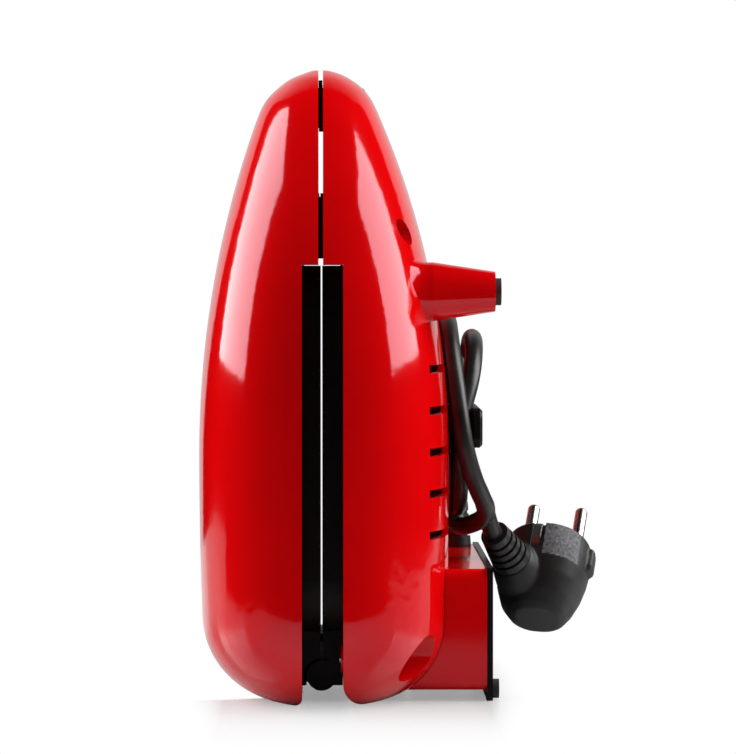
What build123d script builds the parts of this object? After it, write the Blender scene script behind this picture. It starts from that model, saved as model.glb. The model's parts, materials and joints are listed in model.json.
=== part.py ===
from build123d import *
import math
import os

# A two-slice sandwich maker, standing on its hinge end with its cord wound up under the base.
# It is drawn with the parting plane between lid and base at x = 0: lid to -X, base and feet to +X,
# the hinge along Y near the floor, and the handle at the top. All sizes are in millimetres.

os.makedirs("parts", exist_ok=True)

# Overall sizes
height = 236.0
body_width = 230.0
lid_depth = 46.4
base_depth = 48.3
feet_plane = 66.2
centre_x = (feet_plane - lid_depth) / 2

# Form of the two shells
wall = 2.4
deepest_z = 90.0
upper_run = height - deepest_z
bow_run = 146.0
lid_upper_bow = 385.0 * (upper_run / bow_run) ** 2
lid_lower_bow = 1500.0
base_upper_bow = 330.0 * (upper_run / bow_run) ** 2
base_lower_bow = 4000.0
lid_heel_radius = 29.0
base_heel_radius = 28.0
lid_toe_radius = 17.0
base_toe_radius = 13.0
plan_heel_radius = 34.0
plan_toe_radius = 18.0
end_share = 0.985
handle_draw_in = 53.0
taper_start_z = height - 126.0
taper_power = 2.2
side_power = 4.5
crown_power = 2.2
crown_rows = 32
crown_columns = 20

# The faces where lid and base meet
lid_rim = 1.2
base_rim = 0.6
step_z = height - 74.0
lid_deck = 7.1
base_deck = 7.8
lid_inner_corner = 4.0
base_inner_corner = 10.0

# Cooking plates
plate_gap = 0.3
plate_low_z = 27.5
plate_high_z = step_z - 0.4
plate_half_width = body_width / 2 - 10.0
plate_corner = 20.0
plate_skin = 3.0
plate_height = 13.2
plate_seat_gap = 0.35
pocket_depth = 9.5
pocket_draft = 25.0
pocket_corner = 7.0
pocket_low_z = plate_low_z + 7.5
pocket_high_z = plate_high_z - 7.1
pocket_inner_y = 5.5
pocket_outer_y = plate_half_width - 6.5
diagonal_land = 12.0

# Heating, behind each plate
element_radius = 3.25
element_lift = 0.1
element_half_width = plate_half_width - 42.0
element_high_z = plate_high_z - 31.6
element_tail_z = plate_low_z + 5.5
element_bend = 30.0
element_pin_radius = 1.2
reflector_depth = 7.5
reflector_half_width = plate_half_width - 13.0
reflector_low_z = plate_low_z + 5.5
reflector_high_z = plate_high_z - 9.6
reflector_sheet = 0.8
stud_radius = 4.0
stud_z = (plate_low_z + 22.5, plate_high_z - 18.6)
stud_screw_radius = 1.7
stud_head_radius = 3.5
stud_head_height = 2.0
thermostat_z = (plate_low_z + plate_high_z) / 2
thermostat_radius = 8.0
thermostat_height = 5.5
fuse_y = 30.0
fuse_radius = 2.1
fuse_lead_radius = 0.6

# Hinge
hinge_z = 10.0
pin_radius = 2.5
pin_running_gap = 0.05
knuckle_radius = pin_radius + 3.0
knuckle_room = knuckle_radius + 1.1
hinge_inner_y = 34.0
hinge_outer_y = 74.0
hinge_cap = 4.0
knuckle_inner_y = 46.0
knuckle_outer_y = 62.0
knuckle_side_gap = 0.4
leaf_low_z = hinge_z - 3.5
leaf_high_z = plate_low_z - 1.0
leaf_gap = 0.5

# Handle liners and latch
liner_thickness = 2.2
liner_fit = 0.15
liner_set_back = 0.2
liner_low_z = step_z + wall + liner_fit
stop_low_z = liner_low_z
stop_high_z = step_z + 27.0
stop_half_width = 40.0
lid_stop_face = 0.8
base_stop_face = 0.4
key_y = 30.0
key_half_width = 1.6
key_rise = 1.4
key_room = 0.5
tongue_gap = 0.4
latch_half_width = 18.0
latch_side_gap = 0.5
latch_cheek = 2.2
latch_pivot_x = -11.5
latch_pivot_z = height - 9.4
latch_pin_radius = 1.5
latch_barrel = latch_pin_radius + 1.6
latch_room = 1.0
latch_back_wall = 1.6
latch_low_z = height - 8.5
latch_high_z = height - 6.3
hook_inner_x = 14.4
hook_outer_x = 16.8
hook_low_z = height - 14.3
hook_room = 1.4
hook_corner = 1.8
latch_block_low_z = height - 21.7
catch_top_z = height - 11.1
lid_recess_floor_z = height - 13.5

# Indicator lamps in the lid
lamp_z = height - 40.0
lamp_y = 11.0
lens_radius = 4.0
lens_fit = 0.1
lens_flange_radius = 5.6
lens_flange = 1.4
bulb_radius = 2.4
bulb_length = 11.0

# Feet and rear housing
foot_z = height - 84.0
foot_y = 75.0
foot_root_x = 31.0
foot_flare_radius = 15.0
foot_neck_x = 41.0
foot_neck_radius = 10.9
foot_end_radius = 7.4
foot_wall = 2.2
foot_pad_radius = 5.0
foot_pad_depth = 2.0
foot_pad_rise = 2.2
foot_end_x = feet_plane - foot_pad_rise
cover_thickness = 2.2
rear_pad_rise = 2.6
rear_pad_y = 60.0
rear_pad_z = 3.8
rear_pad_radius = 3.6
housing_half_width = 70.0
housing_low_z = 4.0
housing_high_z = 49.0
housing_outer_x = feet_plane - rear_pad_rise - cover_thickness
housing_root_x = 26.0
housing_wall = 2.6
housing_corner = 4.0
housing_seat_gap = 0.1
boss_radius = 5.0
cover_rise = 0.6
cover_corner = 2.0

# Screws
screw_head_radius = 3.4
screw_head_height = 2.2
screw_shank_radius = 1.75
screw_fit = 0.05
screw_length = 13.0

# Vents and screw wells of the base
vent_count = 5
vent_pitch = 15.2
vent_low_z = 62.9
vent_height = 3.0
vent_inner_x = 39.5
vent_outer_y = body_width / 2 - 11.0
vent_inner_y = 56.0
upper_well_y = 78.0
upper_well_z = height - 62.0
upper_well_radius = 4.8
upper_well_floor = 24.0
lower_well_y = body_width / 2 - 25.0
lower_well_z = 18.1
lower_well_radius = 8.5
lower_well_floor = 19.0
well_wall = 2.0
well_tower_length = 12.0

# Cord, its winding under the base, and what holds it
cord_diameter = 7.0
winding_gap = 0.5
winding_pitch = cord_diameter + winding_gap
winding_x = base_depth + cord_diameter / 2 + 0.4
winding_z = 99.25
winding_outer_radius = 42.0
winding_inner_step = 2.0
winding_inner_radius = winding_outer_radius - 2 * winding_pitch - winding_inner_step
winding_half_straight = 8.0
winding_half_turns = 5
winding_tail_y = -26.0
lead_y = winding_half_straight + winding_outer_radius
gland_x = winding_x + 2.0
gland_exit_z = housing_high_z + 18.0
gland_root_radius = cord_diameter / 2 + 2.3
gland_tip_radius = cord_diameter / 2 + 1.0
gland_flange_half = 8.0
gland_flange = 1.7
gland_ring_count = 3
gland_ring_pitch = 4.4
gland_ring_width = 1.4
keeper_thickness = 3.3
keeper_inner_x = winding_x + cord_diameter / 2 + 1.6
keeper_outer_x = keeper_inner_x + keeper_thickness
keeper_half_height = 7.5
keeper_low_z = winding_z + 1.25 - keeper_half_height
keeper_high_z = winding_z + 1.25 + keeper_half_height
keeper_half_length = 48.0
keeper_hub_low_y = -16.0
keeper_hub_high_y = 24.0
keeper_root_x = 44.0

# Plug: a round head with an angled cable entry
pin_direction = Vector(0.17, 0.60, 0.78).normalized()
pin_row_direction = Vector(0.977, -0.20, -0.06).normalized()
entry_direction = Vector(-0.42, -0.67, 0.61).normalized()
relief_mouth = Vector(winding_x + 14.3, -13.6, winding_z - 40.75)
relief_length = 17.0
relief_mouth_radius = cord_diameter / 2 + 2.0
relief_root_radius = 7.85
relief_ring_depth = 0.9
relief_ring_width = 1.3
relief_rings = 4
head_radius = 19.0
head_depth = 10.0
plug_depth = 29.0
entry_depth = 18.8
entry_offset = -6.0
entry_boss_length = 15.0
entry_boss_radius = 10.5
plug_pin_radius = 2.4
plug_pin_length = 19.0
plug_pin_spacing = 19.0
plug_pin_root = 9.0
earth_slot_width = 5.2
earth_slot_depth = 3.4
earth_slot_length = 12.0
earth_clip_thickness = 0.8
earth_clip_length = 10.5


def block(x0, x1, y0, y1, z0, z1):
    """A box between two corners."""
    size = Box(abs(x1 - x0), abs(y1 - y0), abs(z1 - z0))
    return Pos((x0 + x1) / 2, (y0 + y1) / 2, (z0 + z1) / 2) * size


def bar_x(y, z, radius, x0, x1, end_radius=None):
    """A round bar, or a cone, along X."""
    length = abs(x1 - x0)
    if end_radius is None:
        form = Cylinder(radius, length)
    else:
        form = Cone(radius, end_radius, length)
    return Pos((x0 + x1) / 2, y, z) * Rot(0, 90, 0) * form


def bar_y(x, z, radius, y0, y1):
    """A round bar along Y."""
    return Pos(x, (y0 + y1) / 2, z) * Rot(90, 0, 0) * Cylinder(radius, abs(y1 - y0))


def bar_z(x, y, radius, z0, z1, end_radius=None):
    """A round bar, or a cone, along Z."""
    length = abs(z1 - z0)
    form = Cylinder(radius, length) if end_radius is None else Cone(radius, end_radius, length)
    return Pos(x, y, (z0 + z1) / 2) * form


def both_sides(shape):
    """The shape and its mirror image across the mid plane."""
    return shape + mirror(shape, about=Plane.XZ)


def save(name, shape):
    """Writes one piece, with the origin under the middle of the standing object."""
    export_step(Pos(-centre_x, 0, 0) * shape, f"parts/{name}.step")


def arc_drop(distance, radius):
    """How far a circle has fallen away at a distance from where it is level."""
    return radius - math.sqrt(max(radius**2 - distance**2, 0.0))


def end_loss(z, inset, heel, toe):
    """What the rounded ends take off a width or a depth at a height."""
    heel_distance = (heel - z) * end_share
    toe_distance = (z - (height - toe)) * end_share
    loss = 0.0
    if heel_distance > 0:
        loss = heel - inset - math.sqrt(max((heel - inset) ** 2 - heel_distance**2, 0.0))
    if toe_distance > 0:
        loss = toe - inset - math.sqrt(max((toe - inset) ** 2 - toe_distance**2, 0.0))
    return loss


def shell_depth(side, z, inset=0.0):
    """Depth of the lid (side -1) or of the base (side 1) from the parting plane."""
    if side < 0:
        full, heel, toe = lid_depth, lid_heel_radius, lid_toe_radius
        bow = lid_upper_bow if z > deepest_z else lid_lower_bow
    else:
        full, heel, toe = base_depth, base_heel_radius, base_toe_radius
        bow = base_upper_bow if z > deepest_z else base_lower_bow
    return full - arc_drop(z - deepest_z, bow) - inset - end_loss(z, inset, heel, toe)


def half_width(z, inset=0.0):
    """Half of the plan width at a height: straight sides that draw in to the handle."""
    full = body_width / 2
    if z > taper_start_z:
        share = (z - taper_start_z) / (height - plan_toe_radius - taper_start_z)
        full -= handle_draw_in * share**taper_power
    return full - inset - end_loss(z, inset, plan_heel_radius, plan_toe_radius)


def crown(y, z, side, inset=0.0):
    """Where the shell's outer face is, along X, at a place across and up."""
    rim = lid_rim if side < 0 else base_rim
    share = max(1 - abs(y / half_width(z, inset)) ** side_power, 0.0)
    return side * (rim + (shell_depth(side, z, inset) - rim) * share ** (1 / crown_power))


def evenly(points, count):
    """Points at an even spacing along a finely drawn curve."""
    lengths = [0.0]
    for before, after in zip(points, points[1:]):
        lengths.append(lengths[-1] + math.dist(before, after))
    spaced = []
    at = 0
    for step in range(count + 1):
        wanted = lengths[-1] * step / count
        while at < len(points) - 2 and lengths[at + 1] < wanted:
            at += 1
        share = (wanted - lengths[at]) / (lengths[at + 1] - lengths[at])
        before, after = Vector(*points[at]), Vector(*points[at + 1])
        spaced.append(before + (after - before) * share)
    return spaced


def section(side, z, inset, rim):
    """Points across a shell's crown at one height, from one rim to the other."""
    fine = []
    for step in range(401):
        angle = math.pi * step / 400
        across, outward = math.cos(angle), math.sin(angle)
        y = half_width(z, inset) * math.copysign(abs(across) ** (2 / side_power), across)
        share = 0.0 if step in (0, 400) else outward ** (2 / crown_power)
        fine.append((side * (rim + (shell_depth(side, z, inset) - rim) * share), y, z))
    return evenly(fine, crown_columns)


def form(side, inset=0.0):
    """The full body of a shell, out to its faces or inset from them."""
    rim = lid_rim if side < 0 else base_rim
    rows = []
    for step in range(crown_rows + 1):
        z = inset + (height - 2 * inset) * (1 - math.cos(math.pi * step / crown_rows)) / 2
        rows.append(section(side, z, inset, rim))
    crowned = Face.make_surface_from_array_of_points(rows, tol=0.01, min_deg=3, max_deg=3)
    low, first, second, high = sorted(crowned.edges(), key=lambda edge: edge.center().Z)
    low_chord = Line(low @ 0, low @ 1)
    high_chord = Line(high @ 0, high @ 1)
    foot = Face(Wire([low, low_chord]))
    cap = Face(Wire([high, high_chord]))
    flat = Face(Wire([first, second, low_chord, high_chord]))
    return Solid(Shell([crowned, foot, cap, flat]))


def below_step(side, depth, top):
    """The space between the parting plane and a deck, up to a height."""
    far = body_width
    return block(-side * 5, side * depth, -far, far, -5, top)


def inner_corner(side, deck, radius, floor):
    """What rounds the lower edge beside the parting plane."""
    far = body_width / 2 + 5
    corner = block(0, side * (deck + radius), -far, far, floor - 5, floor + radius)
    return corner - bar_y(side * (deck + radius), floor + radius, radius, -far, far)


def plate_outline(grow=0.0):
    """The plan of a cooking plate, on the plane across X."""
    plane = Plane(
        origin=(0, 0, (plate_low_z + plate_high_z) / 2), x_dir=(0, 1, 0), z_dir=(1, 0, 0)
    )
    wide = 2 * (plate_half_width + grow)
    tall = plate_high_z - plate_low_z + 2 * grow
    return plane * RectangleRounded(wide, tall, plate_corner + grow)


def prism_x(sketch, x0, x1, taper=0.0):
    """A sketch on the plane across X, drawn out from x0 to x1."""
    return extrude(Pos(x0, 0, 0) * sketch, amount=x1 - x0, taper=taper)


def hollow_shell(side):
    """A lid or base shell before its own details: walls, deck, plate window, open handle."""
    deck = lid_deck if side < 0 else base_deck
    corner = lid_inner_corner if side < 0 else base_inner_corner
    body = form(side) - below_step(side, deck, step_z)
    body -= inner_corner(side, deck, corner, 0)
    room = form(side, wall) - below_step(side, deck + wall, step_z + wall)
    room -= inner_corner(side, deck + wall, max(corner - wall, wall), wall)
    body -= room
    window = prism_x(plate_outline(plate_seat_gap), side * 2, side * (deck + wall + 1))
    window -= block(-60, 60, -body_width, body_width, step_z, height)
    return body - window


def latch_housing(side, grow=0.0):
    """The block at the handle's end that the latch recess sits in."""
    half = latch_half_width + latch_side_gap + latch_cheek + grow
    outer = hook_inner_x if side > 0 else -latch_recess_back() + latch_back_wall
    return block(-side * 2, side * (outer + grow), -half, half, latch_block_low_z, height + 5)


def latch_recess_back():
    """The back of the lid's recess, behind the latch's barrel."""
    return latch_pivot_x - latch_barrel - latch_room


def pocket_sketches():
    """The four triangles of a cooking plate, on the plane across X."""
    plane = Plane(origin=(0, 0, 0), x_dir=(0, 1, 0), z_dir=(1, 0, 0))
    sketches = []
    for mirrored in (1, -1):
        y0, y1 = mirrored * pocket_inner_y, mirrored * pocket_outer_y
        land = mirrored * diagonal_land * (pocket_outer_y - pocket_inner_y) / (pocket_high_z - pocket_low_z)
        upper = [(y0, pocket_low_z + diagonal_land), (y1 - land, pocket_high_z), (y0, pocket_high_z)]
        lower = [(y0 + land, pocket_low_z), (y1, pocket_low_z), (y1, pocket_high_z - diagonal_land)]
        for corners in (upper, lower):
            triangle = make_face(Polyline(*corners, close=True))
            sketches.append(plane * fillet(triangle.vertices(), pocket_corner))
    return sketches


def cooking_plate(side):
    """A cast plate: skirt, face, four draughted pockets, and posts for its screws."""
    face_x = side * plate_gap
    back_x = side * (plate_gap + plate_height)
    plate = prism_x(plate_outline(), face_x, back_x)
    plate -= prism_x(plate_outline(-plate_skin), face_x + side * plate_skin, back_x + side)
    floor_x = face_x + side * pocket_depth
    pan_x = floor_x + side * plate_skin
    for triangle in pocket_sketches():
        grown = offset(triangle, amount=plate_skin)
        plate += prism_x(grown, face_x + side, pan_x, pocket_draft)
    for triangle in pocket_sketches():
        plate -= prism_x(triangle, face_x, floor_x, pocket_draft)
    for z in stud_z:
        post = bar_x(0, z, stud_radius, face_x + side, side * stud_top())
        plate += post - bar_x(0, z, stud_screw_radius, side * (stud_top() - 6), side * (stud_top() + 1))
    plate += bar_x(0, thermostat_z, thermostat_radius + 1, face_x + side, pan_x)
    return plate


def stud_top():
    """How far from the parting plane the plate's screw posts reach."""
    return plate_gap + pocket_depth + plate_skin + 2 * element_radius + element_lift + 1.0


def heating_element(side):
    """A sheathed tube bent round the back of the plate, with a bare pin at each end."""
    x = side * (plate_gap + pocket_depth + plate_skin + element_lift + element_radius)
    points = [
        (x, -element_half_width, element_tail_z),
        (x, -element_half_width, element_high_z),
        (x, element_half_width, element_high_z),
        (x, element_half_width, element_tail_z),
    ]
    path = FilletPolyline(*points, radius=element_bend)
    tube = sweep(Plane(origin=points[0], z_dir=(0, 0, 1)) * Circle(element_radius), path=path)
    pins = both_sides(bar_z(x, element_half_width, element_pin_radius, element_tail_z - 7, element_tail_z + 1))
    return tube + pins


def reflector(side):
    """A folded sheet tray that keeps the heat at the plate."""
    back = stud_top() + reflector_sheet
    lip = back - reflector_depth
    half = reflector_half_width
    tray = block(side * lip, side * back, -half, half, reflector_low_z, reflector_high_z)
    inside = half - reflector_sheet
    tray -= block(
        side * (lip - 1),
        side * stud_top(),
        -inside,
        inside,
        reflector_low_z + reflector_sheet,
        reflector_high_z - reflector_sheet,
    )
    gate = element_radius + 3
    near, far = element_half_width - gate, element_half_width + gate
    notch = block(side * (lip - 1), side * stud_top(), near, far, reflector_low_z - 1, reflector_low_z + 2)
    tray -= both_sides(notch)
    for z in stud_z:
        tray -= bar_x(0, z, stud_screw_radius, side * lip, side * (back + 1))
    return tray


def plate_screws(side):
    """The screws that clamp the reflector on the plate's posts."""
    back = stud_top() + reflector_sheet
    screws = Part()
    for z in stud_z:
        screws += bar_x(0, z, stud_screw_radius, side * (stud_top() - 5), side * back)
        screws += bar_x(0, z, stud_head_radius, side * back, side * (back + stud_head_height))
    return screws


def hinge_leaves(side, own):
    """Hinge blocks on a deck, with knuckles of their own and room for the other ones."""
    deck = lid_deck if side < 0 else base_deck
    leaf = block(side * leaf_gap, side * deck, hinge_inner_y, hinge_outer_y, leaf_low_z, leaf_high_z)
    leaf -= bar_y(0, hinge_z, knuckle_room, hinge_inner_y - 1, hinge_outer_y + 1)
    for y0, y1 in own:
        knuckle = bar_y(0, hinge_z, knuckle_radius, y0, y1)
        knuckle += block(0, side * deck, y0, y1, leaf_low_z, hinge_z + knuckle_radius)
        leaf += knuckle
    return leaf


def base_hinges():
    """The base's outer and inner knuckles, bored for the pin from the inner side."""
    spans = ((hinge_inner_y, knuckle_inner_y), (knuckle_outer_y, hinge_outer_y))
    leaf = hinge_leaves(1, spans)
    leaf -= bar_y(0, hinge_z, pin_radius, hinge_inner_y - 1, hinge_outer_y - hinge_cap)
    return both_sides(leaf)


def lid_hinges():
    """The lid's middle knuckles, which turn on the pins."""
    span = (knuckle_inner_y + knuckle_side_gap, knuckle_outer_y - knuckle_side_gap)
    leaf = hinge_leaves(-1, (span,))
    leaf -= bar_y(0, hinge_z, pin_radius + pin_running_gap, hinge_inner_y - 1, hinge_outer_y + 1)
    return both_sides(leaf)


def handle_liner(side):
    """The black insert that closes a handle half, with its stop pad and latch housing."""
    front = (lid_rim if side < 0 else base_rim) + liner_set_back
    seat = front + liner_thickness / 2
    far = body_width
    slab = block(side * front, side * (front + liner_thickness), -far, far, liner_low_z, height)
    housing = latch_housing(side) & block(side * front, side * far, -far, far, 0, height)
    insert = form(side, wall + liner_fit) & (slab + housing)
    half = stop_half_width
    recess = latch_half_width + latch_side_gap
    if side < 0:
        insert += block(-lid_stop_face, -seat, -half, half, stop_low_z, stop_high_z)
        groove = key_half_width + key_room
        low, high = stop_low_z - 1, stop_high_z + 1
        insert -= block(1, -key_rise - key_room, key_y - groove, key_y + groove, low, high)
        insert -= block(2, latch_recess_back(), -recess, recess, lid_recess_floor_z, height + 5)
        insert -= bar_y(latch_pivot_x, latch_pivot_z, latch_pin_radius, -far, far)
    else:
        insert += block(-base_stop_face, seat, -half, half, stop_low_z, stop_high_z)
        rib = key_half_width
        insert += block(-key_rise, seat, key_y - rib, key_y + rib, stop_low_z, stop_high_z)
        insert -= block(-2, far, -recess, recess, catch_top_z, height + 5)
    return insert + cheek_tongue(side, front)


def cheek_tongue(side, front):
    """A lip on one cheek of the latch housing that hides the gap beside the latch."""
    across = side * (latch_half_width + latch_side_gap)
    outer = across + side * latch_cheek
    other_front = (base_rim if side < 0 else lid_rim) + liner_set_back
    tip = side * (tongue_gap - other_front)
    top = height - wall - liner_fit - 1
    lip = block(side * (front - liner_set_back - 0.1), tip, across, outer, latch_block_low_z, top)
    return lip + block(side * (front + 0.4), tip, across, outer, latch_block_low_z, latch_low_z)


def latch_clip():
    """The latch: a barrel on its pin, a strap across the handle's end, and a hook."""
    half = latch_half_width
    clip = bar_y(latch_pivot_x, latch_pivot_z, latch_barrel, -half, half)
    clip += block(latch_pivot_x, hook_outer_x, -half, half, latch_low_z, latch_high_z)
    hook = block(hook_inner_x, hook_outer_x, -half, half, hook_low_z, latch_high_z)
    clip += hook
    clip = fillet(clip.edges().filter_by(Axis.Y).group_by(Axis.X)[-1].sort_by(Axis.Z)[-1], hook_corner)
    return clip - bar_y(latch_pivot_x, latch_pivot_z, latch_pin_radius + pin_running_gap, -half - 1, half + 1)


def latch_pin():
    """The pin that the latch turns on, held in the liner's cheeks."""
    half = latch_half_width + latch_side_gap + latch_cheek
    return bar_y(latch_pivot_x, latch_pivot_z, latch_pin_radius, -half, half)


def lid_shell():
    """The lid: hollow shell, lamp holes, and the slot that the latch folds out of."""
    shell = hollow_shell(-1)
    shell -= latch_housing(-1, 0.1)
    for y in (-lamp_y, lamp_y):
        shell -= bar_x(y, lamp_z, lens_radius + lens_fit, -lid_depth, -lid_depth / 2)
    return shell


def lamp_lens(y):
    """A lamp window, flush with the lid, with its flange inside."""
    back = crown(y, lamp_z, -1, wall) + liner_fit
    window = bar_x(y, lamp_z, lens_radius, -lid_depth, back) & form(-1)
    flange = bar_x(y, lamp_z, lens_flange_radius, back - 3, back + lens_flange)
    return window + (flange & form(-1, wall + liner_fit))


def lamp_bulbs():
    """The two neon bulbs behind the lenses."""
    start = crown(lamp_y, lamp_z, -1, wall) + liner_fit + lens_flange
    bulb = bar_x(lamp_y, lamp_z, bulb_radius, start, start + bulb_length)
    return both_sides(bulb)


def screw_well(y, z, radius, floor):
    """A sunk screw well in the base: its cup and boss, and what is bored out of them."""
    reach = floor - well_tower_length
    cup = bar_x(y, z, radius + well_wall, floor - well_wall, 60)
    tower = (cup + bar_x(y, z, boss_radius, reach, floor)) & form(1, wall / 2)
    bore = bar_x(y, z, radius, floor, 70)
    shank = bar_x(y, z, screw_shank_radius, reach - 1, floor + 1)
    return tower, bore + shank


def cone_foot(y):
    """A cone foot that flares out where it meets the shell."""
    flare_middle = ((foot_root_x + foot_neck_x) / 2 - 1.5, 0, foot_neck_radius + 1.3)
    edges = [
        Line((foot_root_x, 0, 0), (foot_root_x, 0, foot_flare_radius)),
        ThreePointArc(
            (foot_root_x, 0, foot_flare_radius), flare_middle, (foot_neck_x, 0, foot_neck_radius)
        ),
        Line((foot_neck_x, 0, foot_neck_radius), (foot_end_x, 0, foot_end_radius)),
        Line((foot_end_x, 0, foot_end_radius), (foot_end_x, 0, 0)),
        Line((foot_end_x, 0, 0), (foot_root_x, 0, 0)),
    ]
    return Pos(0, y, foot_z) * revolve(make_face(Wire(edges)), Axis.X)


def foot_bores(y):
    """The hollow behind a cone foot, and the socket of its rubber pad."""
    hollow_end = foot_end_x - foot_wall - foot_pad_depth
    root_radius = foot_neck_radius - foot_wall
    end_radius = foot_end_radius - foot_wall
    hollow = bar_x(y, foot_z, root_radius, foot_root_x - 1, hollow_end, end_radius)
    return hollow + bar_x(y, foot_z, foot_pad_radius, foot_end_x - foot_pad_depth, foot_end_x + 1)


def base_shell():
    """The base: hollow shell, cone feet, vents, screw wells and the catch's slot."""
    shell = hollow_shell(1)
    inside = form(1, wall)
    shell -= latch_housing(1, 0.1)
    hook_half = latch_half_width + latch_side_gap
    slot_low = hook_low_z - hook_room
    shell -= block(hook_inner_x, body_width, -hook_half, hook_half, slot_low, height + 5)
    for y in (-foot_y, foot_y):
        shell = shell + (cone_foot(y) - inside) - foot_bores(y)
    for step in range(vent_count):
        z = vent_low_z + step * vent_pitch
        slot = block(vent_inner_x, 60, vent_inner_y, vent_outer_y, z - vent_height / 2, z + vent_height / 2)
        shell -= both_sides(slot)
    for y, z, radius, floor in wells():
        tower, bore = screw_well(y, z, radius, floor)
        shell = shell + tower - bore
    hub_y = (keeper_hub_low_y + keeper_hub_high_y) / 2
    hub_z = (keeper_low_z + keeper_high_z) / 2
    return shell - bar_x(hub_y, hub_z, screw_shank_radius, 40, 60)


def wells():
    """Place, bore and floor of the four screw wells."""
    places = []
    for y in (-1, 1):
        places.append((y * upper_well_y, upper_well_z, upper_well_radius, upper_well_floor))
        places.append((y * lower_well_y, lower_well_z, lower_well_radius, lower_well_floor))
    return places


def base_shell_screws():
    """The four screws at the bottom of the wells."""
    screws = Part()
    for y, z, _, floor in wells():
        screws += bar_x(y, z, screw_head_radius, floor, floor + screw_head_height)
        screws += bar_x(y, z, screw_shank_radius - 0.05, floor + 0.5 - screw_length, floor)
    return screws


def rear_housing():
    """The block at the hinge end that holds the terminals, fitted to the shell's heel."""
    half = housing_half_width
    outer = block(housing_root_x, housing_outer_x, -half, half, housing_low_z, housing_high_z)
    outer = fillet(outer.edges().filter_by(Axis.X), housing_corner)
    inside = half - housing_wall
    room = block(
        base_depth + housing_wall,
        housing_outer_x + 1,
        -inside,
        inside,
        housing_low_z + housing_wall,
        housing_high_z - housing_wall,
    )
    body = outer - room
    boss_x0 = base_depth + housing_wall - 1
    for y, z in cover_screw_places():
        body += bar_x(y, z, boss_radius, boss_x0, housing_outer_x)
        body -= bar_x(y, z, screw_shank_radius, boss_x0 + 2, housing_outer_x + 1)
    body -= form(1, -housing_seat_gap)
    y = lead_y
    body -= bar_z(gland_x, y, gland_root_radius, housing_high_z - 9, housing_high_z + 1)
    return body


def cover_screw_places():
    """Where the cover's four screws sit, across and up."""
    y = housing_half_width - housing_wall - boss_radius + 1
    z = (housing_low_z + housing_wall + boss_radius - 1, housing_high_z - housing_wall - boss_radius + 1)
    return [(sign * y, height_z) for sign in (-1, 1) for height_z in z]


def rear_cover():
    """The cover plate of the rear housing; its lower edge is one of the standing edges."""
    half = housing_half_width
    outer = housing_outer_x + cover_thickness
    plate = block(housing_outer_x, outer, -half, half, 0, housing_high_z + cover_rise)
    plate = fillet(plate.edges().filter_by(Axis.X), cover_corner)
    for y, z in cover_screw_places():
        plate -= bar_x(y, z, screw_shank_radius, housing_outer_x - 1, housing_outer_x + 4)
        plate -= bar_x(y, z, screw_head_radius + 0.2, housing_outer_x + 1.0, housing_outer_x + 4)
    return plate


def rear_cover_screws():
    """Four countersunk screws in the cover plate."""
    screws = Part()
    for y, z in cover_screw_places():
        screws += bar_x(y, z, screw_head_radius, housing_outer_x + 1.0, housing_outer_x + 2.0)
        screws += bar_x(y, z, screw_shank_radius - 0.05, housing_outer_x - 8, housing_outer_x + 1.0)
    return screws


def foot_pads():
    """Rubber discs in the cone feet."""
    return both_sides(bar_x(foot_y, foot_z, foot_pad_radius, foot_end_x - foot_pad_depth, feet_plane))


def rear_pads():
    """Rubber feet on the cover plate."""
    return both_sides(
        bar_x(rear_pad_y, rear_pad_z, rear_pad_radius, housing_outer_x + cover_thickness, feet_plane)
    )


def terminal_block():
    """A three-pole terminal strip in the rear housing."""
    x = base_depth + housing_wall
    strip = block(x, x + 8, -22, 22, 18, 30)
    for pole in (-14, 0, 14):
        strip -= bar_z(x + 4.5, pole, 2.2, 17, 31)
        strip += bar_x(pole, 24, 2.0, x + 7.5, x + 9.2)
    return strip


def thermostat():
    """A disc thermostat on the base plate's boss, with two flat tabs."""
    start = plate_gap + pocket_depth + plate_skin
    end = start + thermostat_height
    body = bar_x(0, thermostat_z, thermostat_radius, start, end)
    tab = block(end, end + 1.1, 2.5, 5.5, thermostat_z - 4, thermostat_z + 4)
    return body + both_sides(tab)


def thermal_fuse():
    """The one-shot fuse that lies on the base's reflector, with its two leads."""
    x = stud_top() + reflector_sheet + fuse_radius + 0.1
    body = bar_z(x, fuse_y, fuse_radius, thermostat_z - 6, thermostat_z + 6)
    return body + bar_z(x, fuse_y, fuse_lead_radius, thermostat_z - 18, thermostat_z + 18)


def quarter(cy, radius, start):
    """A quarter turn in the winding's plane; angles run from +Y towards +Z."""
    ends = []
    for angle in (start, start + 45, start + 90):
        turn = math.radians(angle)
        ends.append((winding_x, cy + radius * math.cos(turn), winding_z + radius * math.sin(turn)))
    return ThreePointArc(*ends)


def winding_path():
    """The wound stretch, from its outer end inwards: half turns that shrink by half a pitch."""
    y = lead_y
    edges = [Line((winding_x, y, winding_z - cord_diameter), (winding_x, y, winding_z))]
    for half_turn in range(winding_half_turns):
        radius = winding_outer_radius - half_turn * winding_pitch / 2
        last = half_turn == winding_half_turns - 1
        if last:
            radius = winding_inner_radius
        upward = half_turn % 2 == 0
        sense = 1 if upward else -1
        first_centre = y - sense * radius
        if last:
            second_centre = winding_tail_y + radius
        elif upward:
            second_centre = -winding_half_straight
        else:
            second_centre = winding_half_straight - winding_pitch / 2
        level = winding_z + sense * radius
        start = 0 if upward else 180
        edges.append(quarter(first_centre, radius, start))
        edges.append(Line((winding_x, first_centre, level), (winding_x, second_centre, level)))
        edges.append(quarter(second_centre, radius, start + 90))
        y = second_centre - sense * radius
    return Wire(edges)


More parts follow.
